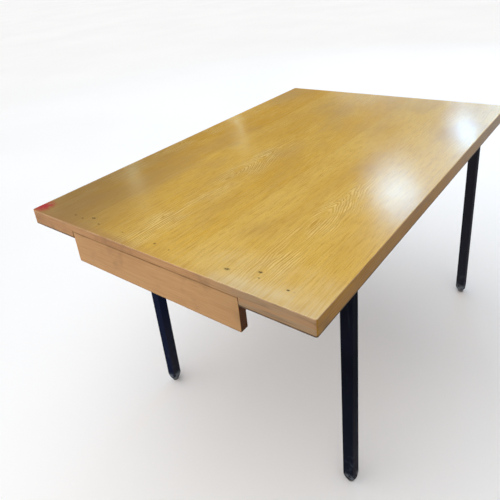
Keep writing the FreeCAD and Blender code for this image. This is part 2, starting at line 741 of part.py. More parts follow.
side_corners = (
    (BOX_INSIDE, BOX_BOTTOM),
    (BOX_OUTSIDE, BOX_BOTTOM),
    (BOX_OUTSIDE, BOX_TOP),
    (BOX_INSIDE, BOX_TOP),
    (BOX_INSIDE, GROOVE_TOP),
    (f"({BOX_INSIDE} + panel_groove)", GROOVE_TOP),
    (f"({BOX_INSIDE} + panel_groove)", PANEL_BOTTOM),
    (BOX_INSIDE, PANEL_BOTTOM),
)
side_bores = group("side_bores", [bore_groups[kind] for kind in ("cleat_screw", "back_screw", "dowel")])
for name, corners in (("drawer_right_side", side_corners), ("drawer_left_side", mirrored(side_corners))):
    strip = profile_along_y(f"{name}_strip", corners, FRONT_STRIP_BACK, BOX_LENGTH)
    keep(bored(f"{name}_bored", strip, side_bores), name)

BACK_TOP = f"({BOARD_UNDERSIDE} - back_top_gap)"
back_board = slab(
    "back_slab",
    (minus(BOX_INSIDE), f"({BOX_BACK} - side_thickness)", GROOVE_TOP),
    (f"(2 * {BOX_INSIDE})", "side_thickness", f"({BACK_TOP} - {GROOVE_TOP})"),
    "cleat_arris",
)
keep(bored("back_bored", back_board, bore_groups["back_screw"]), "drawer_back")

PANEL_HALF = f"({BOX_INSIDE} + panel_groove - panel_fit)"
PANEL_FRONT = f"({FRONT_STRIP_BACK} - panel_groove + panel_fit)"
keep(plain_box(
    "panel_sheet",
    (minus(PANEL_HALF), PANEL_FRONT, PANEL_BOTTOM),
    (f"(2 * {PANEL_HALF})", f"({BOX_BACK} - {PANEL_FRONT})", "panel_thickness"),
), "drawer_bottom")

for name, x in (("right_cleat", BOX_OUTSIDE), ("left_cleat", minus(CLEAT_OUTSIDE))):
    cleat = slab(
        f"{name}_slab",
        (x, FRONT_STRIP_BACK, CLEAT_BOTTOM),
        ("cleat_width", BOX_LENGTH, "cleat_height"),
        "cleat_arris",
    )
    keep(bored(f"{name}_bored", cleat, bore_groups["cleat_screw"]), name)
keep(copies("cleat_screw_set", slotted_screw("cleat_screw"), cleat_screw_places), "cleat_screws")
keep(copies("back_screw_set", slotted_screw("back_screw"), back_screw_places), "back_screws")
keep(copies("dowel_set", dowel_form("dowel_solid", "0"), dowel_places), "drawer_dowels")

# Rebuild everything, look for failures and write one file per sub-part.

doc.recompute()
for thing in doc.Objects:
    if {"Invalid", "Error"} & set(thing.State):
        raise RuntimeError(f"{thing.Label} failed: {thing.State}")
os.makedirs("parts", exist_ok=True)
for node in nodes:
    if node.Shape.isNull() or not node.Shape.isValid():
        raise RuntimeError(f"{node.Label} has no valid shape")
    node.Shape.exportStep(f"parts/{node.Label}.step")
    print(node.Label, len(node.Shape.Solids), round(node.Shape.Volume))

travel = value_of(f"({BOX_BACK} - side_thickness - {STOP_FRONT} - stop_width)")
print("drawer travel to the stop strip", travel)
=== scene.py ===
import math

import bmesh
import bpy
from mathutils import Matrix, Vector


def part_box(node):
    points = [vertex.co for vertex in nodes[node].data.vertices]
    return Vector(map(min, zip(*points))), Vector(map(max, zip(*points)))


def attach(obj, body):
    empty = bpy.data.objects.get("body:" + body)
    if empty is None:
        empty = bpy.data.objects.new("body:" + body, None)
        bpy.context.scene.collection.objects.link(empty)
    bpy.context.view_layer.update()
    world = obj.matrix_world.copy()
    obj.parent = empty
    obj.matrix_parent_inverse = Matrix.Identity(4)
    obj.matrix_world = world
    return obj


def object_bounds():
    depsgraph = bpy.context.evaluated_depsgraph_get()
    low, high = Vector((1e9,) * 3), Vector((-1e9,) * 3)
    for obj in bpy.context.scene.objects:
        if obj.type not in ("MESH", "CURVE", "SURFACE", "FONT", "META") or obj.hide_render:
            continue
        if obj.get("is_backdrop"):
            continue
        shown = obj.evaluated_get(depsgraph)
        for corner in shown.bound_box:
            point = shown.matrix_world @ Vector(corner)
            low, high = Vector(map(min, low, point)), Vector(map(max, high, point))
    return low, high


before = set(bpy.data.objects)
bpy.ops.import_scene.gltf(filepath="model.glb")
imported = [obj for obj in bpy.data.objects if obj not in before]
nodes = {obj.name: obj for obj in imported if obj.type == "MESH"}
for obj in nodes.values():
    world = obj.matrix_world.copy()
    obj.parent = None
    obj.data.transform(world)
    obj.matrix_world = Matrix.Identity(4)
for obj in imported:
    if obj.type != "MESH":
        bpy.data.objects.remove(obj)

# %% [markdown]
# A wooden table with a drawer, dressed in Blender.
#
# The table already stands in the scene: every board, tube and screw was imported by the line above,
# in metres, with the floor at Z = 0 and the drawer at the -Y end. What is left is how it looks.
# The top is honey-coloured oak veneer under a satin varnish, its edges are strips of solid wood,
# and the frame is square steel tube under blue-black enamel.

cad_low, cad_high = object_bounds()
print("pieces loaded:", len(nodes))
print("table, in metres:", [round(high - low, 3) for low, high in zip(cad_low, cad_high)])

# %% [markdown]
# Colours are easiest to read as the numbers 0 to 255 that a picture shows. The shaders
# want linear light instead, so one small function turns the one into the other.

# %% Colours as a picture shows them
PICTURE_WHITE = 255.0


def seen(red, green, blue):
    """A colour as a picture shows it, turned to linear light for a shader."""
    linear = []
    for channel in (red, green, blue):
        share = channel / PICTURE_WHITE
        linear.append(share / 12.92 if share <= 0.04045 else ((share + 0.055) / 1.055) ** 2.4)
    return (*linear, 1.0)


print("middle grey in linear light:", round(seen(128, 128, 128)[0], 3))

# %% [markdown]
# Every finish here is procedural: its colour is worked out from where a point lies on the table.
# Such a finish is a chain of small nodes. These helpers add one node each and hand back its
# output, so that a finish can be written as a few lines of sums instead of a page of links.

# %% Helpers that each add one shader node


def feed(tree, socket, value):
    """Link the socket to another node's output, or set it to a plain value."""
    if isinstance(value, bpy.types.NodeSocket):
        tree.links.new(value, socket)
    else:
        socket.default_value = value


def calc(tree, operation, *values):
    """One step of arithmetic, worked out at every point."""
    made = tree.nodes.new("ShaderNodeMath")
    made.operation = operation
    for socket, value in zip(made.inputs, values):
        feed(tree, socket, value)
    return made.outputs[0]


def vector(tree, x, y, z):
    """Three values joined into one place."""
    made = tree.nodes.new("ShaderNodeCombineXYZ")
    for socket, value in zip(made.inputs, (x, y, z)):
        feed(tree, socket, value)
    return made.outputs[0]


def stretched(tree, values, factors):
    """A place with each value multiplied: the larger the factor, the finer a pattern that way."""
    return vector(tree, *(calc(tree, "MULTIPLY", value, factor) for value, factor in zip(values, factors)))


def noise(tree, place, scale, detail=2.0):
    """Soft random variation, about 0.5 on average."""
    made = tree.nodes.new("ShaderNodeTexNoise")
    feed(tree, made.inputs["Vector"], place)
    made.inputs["Scale"].default_value = scale
    made.inputs["Detail"].default_value = detail
    return made.outputs["Fac"]


def fade(tree, value, start, end, low=0.0, high=1.0):
    """Low up to start, high from end, and a smooth change between them."""
    made = tree.nodes.new("ShaderNodeMapRange")
    made.interpolation_type = "SMOOTHSTEP"
    for name, number in zip(("From Min", "From Max", "To Min", "To Max"), (start, end, low, high)):
        made.inputs[name].default_value = number
    feed(tree, made.inputs["Value"], value)
    return made.outputs["Result"]


def push(tree, pattern, amount):
    """A value from 0 to 1 as a push to either side, by up to half the amount."""
    return calc(tree, "MULTIPLY", calc(tree, "SUBTRACT", pattern, 0.5), amount)


def mix(tree, share, first, second):
    """The first colour, with that share of the second over it."""
    made = tree.nodes.new("ShaderNodeMix")
    made.data_type = "RGBA"
    for name, value in zip(("Factor_Float", "A_Color", "B_Color"), (share, first, second)):
        socket = next(item for item in made.inputs if item.identifier == name)
        feed(tree, socket, value)
    return next(item for item in made.outputs if item.identifier == "Result_Color")


print("node helpers are ready")

# %% [markdown]
# A finish starts from the place of the point on the piece. Object coordinates are used and not
# world coordinates, because they stay with the drawer when it slides out. As every piece has its
# origin at the table's origin, they are plain metres on the table.

# %% Start and end of a finish


def start_finish(name):
    """An empty material, with the place of a point as x, y and z and the way its surface faces."""
    material = bpy.data.materials.new(name)
    material.use_nodes = True
    tree = material.node_tree
    place = tree.nodes.new("ShaderNodeTexCoord")
    split = tree.nodes.new("ShaderNodeSeparateXYZ")
    tree.links.new(place.outputs["Object"], split.inputs[0])
    facing = tree.nodes.new("ShaderNodeSeparateXYZ")
    tree.links.new(place.outputs["Normal"], facing.inputs[0])
    return material, tree, tuple(split.outputs), tuple(facing.outputs)


def end_finish(tree, colour, roughness, height=None, depth=0.0, **constants):
    """Feed the surface shader. Depth is how deep, in metres, the height shades the surface."""
    surface = tree.nodes["Principled BSDF"]
    feed(tree, surface.inputs["Base Color"], colour)
    feed(tree, surface.inputs["Roughness"], roughness)
    for name, value in constants.items():
        surface.inputs[name.replace("_", " ")].default_value = value
    if height is not None:
        bump = tree.nodes.new("ShaderNodeBump")
        bump.inputs["Distance"].default_value = depth
        feed(tree, bump.inputs["Height"], height)
        tree.links.new(bump.outputs["Normal"], surface.inputs["Normal"])


def dress(material, *names):
    """Give the finish to those pieces of the table."""
    for name in names:
        slots = nodes[name].data.materials
        slots.clear()
        slots.append(material)
    print(f"{material.name}: {len(names)} pieces")


print("a finish can be started, ended and put on")

# %% [markdown]
# Wood is a stack of cones. Each year's growth is one thin cone round the pith, and the figure on
# a board is where its face cuts them: nearly parallel lines where the cut passes far from the
# pith, and tall arches where it runs along it. So the figure is not painted but worked out. The
# distance to the pith, divided by the width of a ring, gives the ring, and its fraction tells
# how far the point lies between the open wood of spring and the dense wood of summer. Good and
# poor years grow wide and narrow rings, so the count is pushed to and fro a little on the way out.

# %% The growth rings of a board
ROUND_CUT = 2.0
YEARS_PER_SPELL = 2.5
SPELL_PUSH = 1.6
FIBRE_STRETCH = 40.0


def rings(tree, across, depth, width, wander, grain_place, step=0.3, cut=ROUND_CUT):
    """How light a point is inside its growth ring, from 0 in the open spring wood to 1.

    A cut of 2 gives the round arches of a true circle, and less makes them pointed.
    """
    side = calc(tree, "ADD", across, push(tree, noise(tree, grain_place, 1.0, 3.0), wander))
    powers = [calc(tree, "POWER", calc(tree, "ABSOLUTE", value), cut) for value in (side, depth)]
    distance = calc(tree, "POWER", calc(tree, "ADD", *powers), 1.0 / cut)
    count = calc(tree, "DIVIDE", distance, width)
    spell = noise(tree, vector(tree, count, 0.0, 0.0), 1.0 / YEARS_PER_SPELL, 1.0)
    count = calc(tree, "ADD", count, calc(tree, "MULTIPLY", spell, SPELL_PUSH))
    ring = calc(tree, "FRACT", count)
    rise = fade(tree, ring, 0.0, step)
    fall = fade(tree, ring, 1.0 - step / 2, 1.0, 1.0, 0.0)
    return calc(tree, "MULTIPLY", rise, fall)


def fibres(tree, place, fine, coarse):
    """Long thin streaks along the grain, as two noises stretched along it."""
    thin = noise(tree, stretched(tree, place, (fine / FIBRE_STRETCH, fine, fine)), 1.0, 3.0)
    thick = noise(tree, stretched(tree, place, (coarse / FIBRE_STRETCH, coarse, coarse)), 1.0, 2.0)
    return thin, thick


print("rings and fibres are ready")

# %% [markdown]
# The face of the top is veneer: three sheets cut one after the other from the same log and laid
# side by side, 315 mm apart, which is why the same tall arches come back across the table. Each
# sheet repeats the one before with a little change. The arches are clearest down the middle of a
# sheet and die out towards its sides, where the cut runs far from the pith.

# %% The figure of the veneer
SHEET_WIDTH = 0.315
FIRST_SHEET_EDGE = -0.5425
SHEET_DEPTH = 0.0015
RING_WIDTH = 0.0050
RING_STEP = 0.5
RING_WANDER = 0.008
POINTED_CUT = 1.3
PITH_NEAR = 0.003
PITH_FAR = 0.056
PITH_FRONT = 0.012
LOOPS_START = -0.60
ARCHES_START = -0.36
ARCHES_END = -0.12
ARCHES_SHIFT = 0.10
ARCHES_FADE_FROM = ARCHES_END - 0.08
ARCHES_FADE_TO = ARCHES_END + 0.06
WAVE_FINENESS = (9.0, 9.0, 0.2)
WAVE_PUSH = 0.022
FEATHER_LENGTH = 0.026
FEATHER_WIDTH = 0.0022
FEATHER_PUSH = 0.0035
DRIFT_FINENESS = (14.0, 4.0, 0.3)
CLEAR_CENTRE = 0.014
CLEAR_WITHIN = 0.018
CLEAR_UP_TO = 0.060
CLEAR_OUTSIDE = 0.12
UNEVEN_FINENESS = (30.0, 11.0, 1.0)
UNEVEN_START = 5.0
BOLD_FIGURE = (
    ((-0.075, -0.175), 0.09), ((-0.080, -0.030), 0.10), ((0.272, -0.480), 0.15), ((0.250, -0.200), 0.08),
)
SPOT_CORE = 0.25


def spot(tree, x, y, place, reach):
    """1 at a place on the top, falling to 0 at its reach."""
    away = tree.nodes.new("ShaderNodeVectorMath")
    away.operation = "DISTANCE"
    feed(tree, away.inputs[0], vector(tree, x, y, 0.0))
    away.inputs[1].default_value = (*place, 0.0)
    return fade(tree, away.outputs["Value"], reach * SPOT_CORE, reach, 1.0, 0.0)


def streaks(tree, along, across, length, width, detail=2.0):
    """Soft random streaks, about that long along the grain and that wide across it, in metres."""
    place = vector(tree, calc(tree, "DIVIDE", along, length), calc(tree, "DIVIDE", across, width), 0.0)
    return noise(tree, place, 1.0, detail)


def on_sheet(tree, x, y):
    """Which sheet a point is on, how far across that sheet it is, and how far along its figure."""
    counted = calc(tree, "DIVIDE", calc(tree, "SUBTRACT", x, FIRST_SHEET_EDGE), SHEET_WIDTH)
    sheet = calc(tree, "FLOOR", counted)
    across = push(tree, calc(tree, "FRACT", counted), SHEET_WIDTH)
    shift = calc(tree, "MULTIPLY", calc(tree, "SUBTRACT", 2.0, sheet), ARCHES_SHIFT)
    return sheet, across, calc(tree, "SUBTRACT", y, shift)


def pith_depth(tree, sheet, across, back):
    """How deep the pith lies under the point: it comes near the face where the arches stand."""
    wave = noise(tree, stretched(tree, (across, back, sheet), WAVE_FINENESS), 1.0, 3.0)
    feather = streaks(tree, back, across, FEATHER_LENGTH, FEATHER_WIDTH)
    pith = calc(tree, "ADD", fade(tree, back, ARCHES_START, ARCHES_END, PITH_NEAR, PITH_FAR),
                fade(tree, back, LOOPS_START, ARCHES_START, PITH_FRONT, 0.0))
    pith = calc(tree, "ADD", pith, push(tree, wave, WAVE_PUSH))
    pith = calc(tree, "ADD", pith, push(tree, feather, FEATHER_PUSH))
    return calc(tree, "ADD", pith, calc(tree, "MULTIPLY", sheet, SHEET_DEPTH))


def figure_clearness(tree, x, y, sheet, across, back):
    """How clearly the rings show at a point."""
    away = calc(tree, "ABSOLUTE", calc(tree, "SUBTRACT", across, CLEAR_CENTRE))
    clear = fade(tree, away, CLEAR_WITHIN, CLEAR_UP_TO, 1.0, CLEAR_OUTSIDE)
    other_part = calc(tree, "ADD", sheet, UNEVEN_START)
    uneven = noise(tree, stretched(tree, (across, back, other_part), UNEVEN_FINENESS), 1.0, 2.0)
    clear = calc(tree, "MULTIPLY", clear, fade(tree, uneven, 0.38, 0.60, 0.10, 1.15))
    bold = calc(tree, "MAXIMUM", *(spot(tree, x, y, place, reach) for place, reach in BOLD_FIGURE))
    clear = calc(tree, "MULTIPLY", clear, calc(tree, "ADD", 1.0, bold))
    return calc(tree, "MULTIPLY", clear, fade(tree, back, ARCHES_FADE_FROM, ARCHES_FADE_TO, 1.0, 0.3))


def veneer_rings(tree, x, y):
    """The sheet a point is on, the rings there from 0 in the spring wood to 1, and their clearness."""
    sheet, across, back = on_sheet(tree, x, y)
    pith = pith_depth(tree, sheet, across, back)
    grain_place = stretched(tree, (across, back, sheet), DRIFT_FINENESS)
    ring = rings(tree, across, pith, RING_WIDTH, RING_WANDER, grain_place, RING_STEP, POINTED_CUT)
    return sheet, ring, figure_clearness(tree, x, y, sheet, across, back)


print("rings across one sheet of veneer, at most:", round(SHEET_WIDTH / RING_WIDTH))

# %% [markdown]
# Oak is never one colour. Over its rings lie streaks of every length, from bands half as long as
# the table down to pores of a few millimetres, and slow smudges of darker wood and haze. Each is a
# random pattern laid over the colour as a thin coat, so they can be kept in one list.

# %% The colour of the veneer
FIRST_SHEET = seen(216, 165, 44)
LAST_SHEET = seen(230, 190, 92)
EARLY_WOOD = seen(186, 138, 48)
EARLY_SHARE = 0.60
LATE_WOOD = seen(246, 216, 134)
LATE_CREST = 4.0

# Length and width of each kind of streak in metres, and how much detail it has.
GRAIN_STREAKS = {
    "broad": (0.400, 0.0090, 2.0),
    "band": (0.600, 0.0450, 2.0),
    "dashes": (0.080, 0.0042, 3.0),
    "ticks": (0.035, 0.0020, 2.0),
    "pores": (0.006, 0.0005, 2.0),
}

# How fine each smudge is across and along, where in the noise it starts, and its detail.
SMUDGES = {
    "patch": ((7.0, 3.0), 0.0, 3.0),
    "cloud": ((6.0, 3.0), 3.7, 4.0),
}

# Each coat: its pattern, the values between which it changes, its share at either, and its colour.
VENEER_COATS = (
    ("broad", 0.35, 0.70, 0.00, 0.45, (216, 180, 100)),
    ("band", 0.45, 0.65, 0.00, 0.35, (220, 176, 78)),
    ("dashes", 0.50, 0.68, 0.00, 0.30, (182, 134, 52)),
    ("dashes", 0.32, 0.48, 0.34, 0.00, (230, 194, 112)),
    ("ticks", 0.52, 0.70, 0.00, 0.40, (168, 122, 48)),
    ("ticks", 0.30, 0.46, 0.30, 0.00, (224, 188, 110)),
    ("pores", 0.58, 0.70, 0.00, 0.55, (136, 96, 42)),
    ("patch", 0.40, 0.70, 0.00, 0.35, (194, 144, 44)),
    ("cloud", 0.48, 0.68, 0.00, 0.45, (186, 149, 90)),
)


def coat(tree, colour, pattern, start, end, low, high, tint):
    """The colour with a thin coat of a tint over it, as thick as the pattern says."""
    return mix(tree, fade(tree, pattern, start, end, low, high), colour, seen(*tint))


def veneer_patterns(tree, x, y):
    """The streaks and smudges of the veneer, by name."""
    patterns = {name: streaks(tree, y, x, *size) for name, size in GRAIN_STREAKS.items()}
    for name, (fineness, start, detail) in SMUDGES.items():
        patterns[name] = noise(tree, stretched(tree, (x, y, start), (*fineness, 1.0)), 1.0, detail)
    return patterns


def bare_veneer(tree, sheet, ring, clear, patterns):
    """The colour of the veneer before any wear."""
    colour = mix(tree, fade(tree, sheet, 0.0, 2.0), FIRST_SHEET, LAST_SHEET)
    early = calc(tree, "MULTIPLY", calc(tree, "SUBTRACT", 1.0, ring), clear)
    late = calc(tree, "MULTIPLY", calc(tree, "POWER", ring, LATE_CREST), clear)
    colour = mix(tree, calc(tree, "MULTIPLY", early, EARLY_SHARE), colour, EARLY_WOOD)
    colour = mix(tree, late, colour, LATE_WOOD)
    for name, *shares_and_tint in VENEER_COATS:
        colour = coat(tree, colour, patterns[name], *shares_and_tint)
    return colour


print("coats on the veneer:", len(VENEER_COATS))

# %% [markdown]
# Years of use show on a table top in a few places. The left corner is darker and greyer, partly from
# handling and partly as painted shade, the varnish by the drawer is rubbed pale, and the edge that hands
# rest on is browner. Small dents have filled with dirt along that edge, and the left corner has an old red
# stain.

# %% Wear on the top, with painted shade at the left corner
TOP_FRONT = cad_low.y
TOP_LEFT = cad_low.x
HANDLED_SLANT = 0.55
# The grey at the front left corner is partly wear from handling and partly painted shade.
HANDLED_AND_SHADED = (0.08, 0.44, 0.72, 0.0, (138, 108, 70))
RUBBED_FROM = TOP_FRONT + 0.02
RUBBED_UP_TO = TOP_FRONT + 0.14
BLOTCH_FINENESS = (9.0, 14.0, 1.0)
RUBBED_SHARE = 0.90
RUBBED_VARNISH = seen(224, 202, 156)
FINGERED_FROM = TOP_FRONT + 0.003
FINGERED_UP_TO = TOP_FRONT + 0.024
FINGERED_WOOD = seen(172, 128, 82)
DENTS = (
    (-0.270, -0.565, 0.006), (-0.240, -0.568, 0.005), (-0.215, -0.555, 0.008), (-0.180, -0.568, 0.005),
    (-0.100, -0.566, 0.004), (0.000, -0.565, 0.005), (0.045, -0.568, 0.004), (0.190, -0.562, 0.009),
    (0.250, -0.540, 0.007), (0.258, -0.556, 0.004), (0.322, -0.560, 0.005), (0.334, -0.560, 0.003),
)
DENT_SHORTER = 1.6
DENT_ROUGHNESS = 260.0
DENT_DIRT = seen(76, 64, 46)
STAIN = (-0.387, -0.575)
STAIN_REACH = 0.036
STAIN_ROUGHNESS = 90.0
STAIN_RED = seen(186, 48, 62)
MARK_SHARE = 0.9
SHINE_FINENESS = 14.0
VENEER_RELIEF = 0.00005


def handled_and_shaded_corner(tree, colour, x, y):
    """Darker and greyer towards the front left corner, partly from handling and partly as painted shade."""
    corner_away = calc(tree, "ADD", calc(tree, "SUBTRACT", x, TOP_LEFT),
                       calc(tree, "MULTIPLY", calc(tree, "SUBTRACT", y, TOP_FRONT), HANDLED_SLANT))
    return coat(tree, colour, corner_away, *HANDLED_AND_SHADED)


def rubbed_front(tree, x, y, dashes):
    """How far the varnish is rubbed, from 0 to 1: in blotches by the drawer, more to the right."""
    rubbed = fade(tree, y, RUBBED_FROM, RUBBED_UP_TO, 1.0, 0.0)
    blotch = noise(tree, stretched(tree, (x, y, 0.0), BLOTCH_FINENESS), 1.0, 1.5)
    rubbed = calc(tree, "MULTIPLY", rubbed, fade(tree, blotch, 0.25, 0.70, 0.3, 1.0))
    rubbed = calc(tree, "MULTIPLY", rubbed, fade(tree, x, 0.08, 0.24, 0.10, 1.0))
    return calc(tree, "MULTIPLY", rubbed, fade(tree, dashes, 0.40, 0.62, 1.0, 0.55))


def fingered_edge(tree, x, y, cloud):
    """How brown the edge is where hands rest on it, most on the left."""
    fingered = calc(tree, "MULTIPLY", fade(tree, y, FINGERED_FROM, FINGERED_UP_TO, 0.75, 0.0),
                    fade(tree, x, -0.20, 0.10, 1.0, 0.25))
    return calc(tree, "MULTIPLY", fingered, fade(tree, cloud, 0.30, 0.60, 1.0, 0.5))


def dents(tree, x, y):
    """1 in a dent and 0 beside it. A dent is a little longer across the table than along it."""
    dent = 0.0
    short_y = calc(tree, "MULTIPLY", y, DENT_SHORTER)
    for dent_x, dent_y, reach in DENTS:
        dent = calc(tree, "MAXIMUM", dent, spot(tree, x, short_y, (dent_x, dent_y * DENT_SHORTER), reach))
    ragged = fade(tree, noise(tree, vector(tree, x, y, 0.0), DENT_ROUGHNESS), 0.35, 0.55)
    return calc(tree, "MULTIPLY", dent, ragged)


def stain(tree, x, y):
    """1 in the red stain and 0 beside it."""
    ragged = fade(tree, noise(tree, vector(tree, x, y, 0.0), STAIN_ROUGHNESS), 0.25, 0.5)
    return calc(tree, "MULTIPLY", spot(tree, x, y, STAIN, STAIN_REACH), ragged)


def varnish_roughness(tree, x, y, rubbed, dashes):
    """Satin, duller where it is rubbed and a trace uneven along the grain."""
    shine = noise(tree, vector(tree, x, y, 0.0), SHINE_FINENESS, 4.0)
    satin = fade(tree, shine, 0.3, 0.7, 0.15, 0.18)
    roughness = calc(tree, "ADD", satin, calc(tree, "MULTIPLY", rubbed, 0.10))
    return calc(tree, "ADD", roughness, fade(tree, dashes, 0.35, 0.65, -0.004, 0.006))


def veneer_finish():
    material, tree, (x, y, _), _ = start_finish("oak_veneer")
    sheet, ring, clear = veneer_rings(tree, x, y)
    patterns = veneer_patterns(tree, x, y)
    rubbed = rubbed_front(tree, x, y, patterns["dashes"])
    dent = dents(tree, x, y)

    colour = bare_veneer(tree, sheet, ring, clear, patterns)
    colour = handled_and_shaded_corner(tree, colour, x, y)
    colour = mix(tree, calc(tree, "MULTIPLY", rubbed, RUBBED_SHARE), colour, RUBBED_VARNISH)
    colour = mix(tree, fingered_edge(tree, x, y, patterns["cloud"]), colour, FINGERED_WOOD)
    colour = mix(tree, calc(tree, "MULTIPLY", dent, MARK_SHARE), colour, DENT_DIRT)
    colour = mix(tree, calc(tree, "MULTIPLY", stain(tree, x, y), MARK_SHARE), colour, STAIN_RED)

    raised = calc(tree, "ADD", calc(tree, "MULTIPLY", ring, 0.3), patterns["ticks"])
    height = calc(tree, "SUBTRACT", calc(tree, "SUBTRACT", raised, patterns["pores"]), dent)
    roughness = varnish_roughness(tree, x, y, rubbed, patterns["dashes"])
    end_finish(tree, colour, roughness, height, VENEER_RELIEF)
    return material


dress(veneer_finish(), "top_veneer")

# %% [markdown]
# The four edges are strips of solid wood, mitred at the corners, a little redder and duller than the veneer.
# On solid wood the rings go through the whole strip, so the face, the lower edge and the cut ends all have
# to agree. Working in three dimensions gives that for nothing. Cut ends drink varnish and come out much
# darker, and the finish darkens them where the surface faces along the grain, partly for that and partly as
# painted shade. A thin painted shade line runs along the lower edge of each strip.

# %% Solid wood, with the grain across or along the table
AXIS_ORDERS = {"x": (0, 1, 2), "y": (1, 0, 2)}
PITH_LEAN = 0.02
WOOD_DRIFT = (4.0, 30.0, 30.0)
WOOD_WANDER = 0.010
WOOD_PATCHES = (5.0, 12.0, 12.0)
WOOD_RELIEF = 0.00025
FINE_FIBRES = 700.0
COARSE_FIBRES = 120.0
GRIME_FINENESS = 24.0
EDGE_SHADE_FINENESS = 30.0
RUB_FINENESS = 40.0
CRACK_FINENESS = (11.0, 110.0, 140.0)
END_SHARE = 0.7
GRIME = (84, 62, 46)
CRACKED = seen(98, 72, 48)
END_GRAIN_AND_SHADE = seen(72, 40, 14)
EDGE_SHADE = seen(46, 36, 28)
RUBBED_WOOD = seen(214, 178, 138)


def grey_wear_and_sheen(tree, colour, place, grain, thick, grey_and_sheen):
    """A grey coat that grows along one axis, with fine cracks in it: grey wear, and on the side strips a
    painted reflection of the pale room.
    """
    axis, start, full, share, grey = grey_and_sheen
    zone = fade(tree, place[axis], start, full)
    uneven = fade(tree, thick, 0.35, 0.6, 0.35 * share, share)
    colour = mix(tree, calc(tree, "MULTIPLY", zone, uneven), colour, grey)
    crack = noise(tree, stretched(tree, grain, CRACK_FINENESS), 1.0, 3.0)
    crack = calc(tree, "MULTIPLY", zone, fade(tree, crack, 0.50, 0.72, 0.0, 0.45 * share))
    return mix(tree, crack, colour, CRACKED)


def paint_edge_shade(tree, colour, place, upright, height, reach, share):
    """A painted shade line on the upright faces about one height, uneven along its length."""
    shade_line = fade(tree, noise(tree, vector(tree, *place), EDGE_SHADE_FINENESS, 3.0), 0.3, 0.6, 0.6 * share, share)
    away = calc(tree, "ABSOLUTE", calc(tree, "SUBTRACT", place[2], height))
    near = fade(tree, away, reach / 3, reach, 1.0, 0.0)
    shade_line = calc(tree, "MULTIPLY", calc(tree, "MULTIPLY", shade_line, upright), near)
    return mix(tree, shade_line, colour, EDGE_SHADE)


def rub_edge(tree, colour, place, height, reach):
    """An upper edge that is rubbed pale in places."""
    rubbed = fade(tree, noise(tree, vector(tree, *place), RUB_FINENESS, 3.0), 0.35, 0.6, 0.1, 0.7)
    rubbed = calc(tree, "MULTIPLY", rubbed, fade(tree, place[2], height - reach, height))
    return mix(tree, rubbed, colour, RUBBED_WOOD)


def solid_wood(name, grain, light, dark, heart, ring_width=0.0045, gloss=0.45, ends=0.45, worn=0.0,
               figure=1.0, grey_and_sheen=None, shade_lines=(), pale_edge=None, shine=0.12):
    """Wood with its grain along "x" or "y". Heart is the pith, as two distances across the grain.

    Figure is how strongly the rings show. Grey and sheen is the axis along which a grey coat grows, where it
    starts, where it is full, and its share and colour; it is grey wear, and on the side strips a painted
    reflection.
    Shade lines holds each height at which a painted shade line runs, with its reach and share.
    Pale edge is the height of a rubbed upper edge, with its reach.
    """
    material, tree, place, facing = start_finish(name)
    order = AXIS_ORDERS[grain]
    along, across, depth = grain_axes = [place[axis] for axis in order]
    side = calc(tree, "SUBTRACT", across, heart[0])
    lean = calc(tree, "MULTIPLY", along, PITH_LEAN)
    below = calc(tree, "ADD", calc(tree, "SUBTRACT", depth, heart[1]), lean)
    ring = rings(tree, side, below, ring_width, WOOD_WANDER, stretched(tree, grain_axes, WOOD_DRIFT))
    thin, thick = fibres(tree, grain_axes, FINE_FIBRES, COARSE_FIBRES)
    patch = noise(tree, stretched(tree, grain_axes, WOOD_PATCHES), 1.0, 3.0)

    colour = mix(tree, fade(tree, ring, 0.0, 1.0, 0.55 - 0.3 * figure, 0.55 + 0.25 * figure), dark, light)
    colour = mix(tree, fade(tree, thick, 0.35, 0.65, 0.0, 0.65), colour, light)
    colour = mix(tree, fade(tree, thin, 0.48, 0.68, 0.0, 0.70), colour, dark)
    colour = mix(tree, fade(tree, patch, 0.4, 0.7, 0.0, 0.4), colour, dark)
    if worn:
        grime = noise(tree, vector(tree, *place), GRIME_FINENESS, 5.0)
        colour = coat(tree, colour, grime, 0.5, 0.75, 0.0, worn, GRIME)
    if grey_and_sheen:
        colour = grey_wear_and_sheen(tree, colour, place, grain_axes, thick, grey_and_sheen)
    # Cut ends are darkened: partly end grain, partly painted shade.
    end = fade(tree, calc(tree, "ABSOLUTE", facing[order[0]]), END_SHARE, 1.0, 0.0, ends)
    colour = mix(tree, end, colour, END_GRAIN_AND_SHADE)
    upright = fade(tree, calc(tree, "ABSOLUTE", facing[2]), 0.8, 1.0, 1.0, 0.1)
    # Painted shade lines along edges, on the upright faces.
    for mark in shade_lines:
        colour = paint_edge_shade(tree, colour, place, upright, *mark)
    if pale_edge:
        colour = rub_edge(tree, colour, place, *pale_edge)
    height = calc(tree, "ADD", thin, calc(tree, "MULTIPLY", ring, 0.5))
    end_finish(tree, colour, fade(tree, thick, 0.2, 0.8, gloss - 0.06, gloss + 0.08), height, WOOD_RELIEF,
               Specular_IOR_Level=shine)
    return material


strip_low, strip_high = (corner.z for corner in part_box("front_edge_strip"))
# Painted shade: a dark line along the lower edge of the strips, under their rounding.
STRIP_SHADE_LINES = ((strip_low, 0.006, 0.9),)
STRIP_RUB = (strip_high, 0.003)
STRIP_HEART = (-0.45, 0.60)
across_strip = solid_wood("edge_wood_across", "x", seen(192, 146, 98), seen(156, 108, 66), STRIP_HEART,
                          worn=0.3, figure=0.45, grey_and_sheen=(0, 0.10, 0.32, 0.90, seen(150, 127, 99)),
                          shade_lines=STRIP_SHADE_LINES, pale_edge=STRIP_RUB)
dress(across_strip, "front_edge_strip", "rear_edge_strip")
